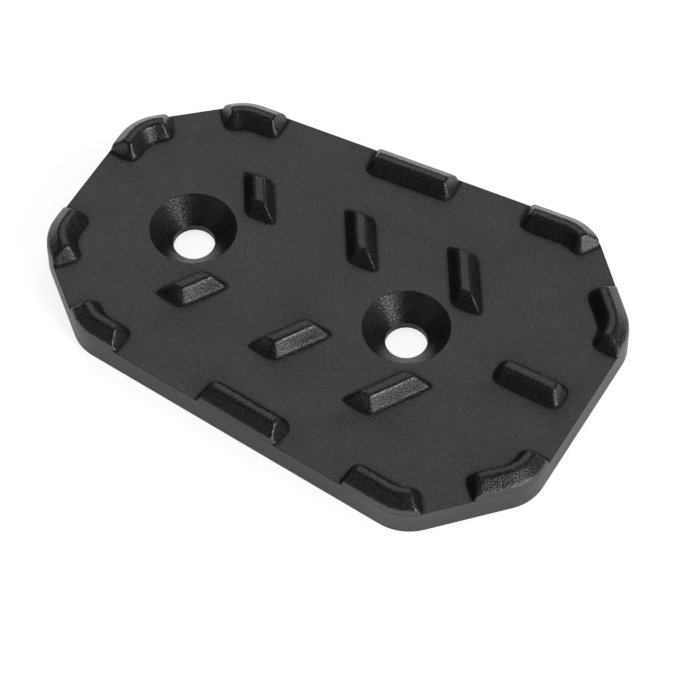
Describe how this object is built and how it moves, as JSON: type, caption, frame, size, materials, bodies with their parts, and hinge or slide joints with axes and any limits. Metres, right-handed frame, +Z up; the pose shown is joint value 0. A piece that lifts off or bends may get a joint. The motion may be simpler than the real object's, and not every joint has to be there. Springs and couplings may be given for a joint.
{
  "type": "brake pedal extension",
  "caption": "Tapered eight-sided metal tread plate with drafted teeth round its rim and slanted teeth inside, and countersunk screw holes on its centre line.",
  "frame": {"origin": "middle of the underside", "axes": "+X along the plate to its wide end, +Y across it, +Z up from the underside to the teeth"},
  "size_m": [0.078, 0.054, 0.0066],
  "materials": {
    "tread_plate": "bead-blasted and anodised matt black"
  },
  "bodies": {
    "root": {"tread_plate": "tread_plate"}
  },
  "joints": []
}
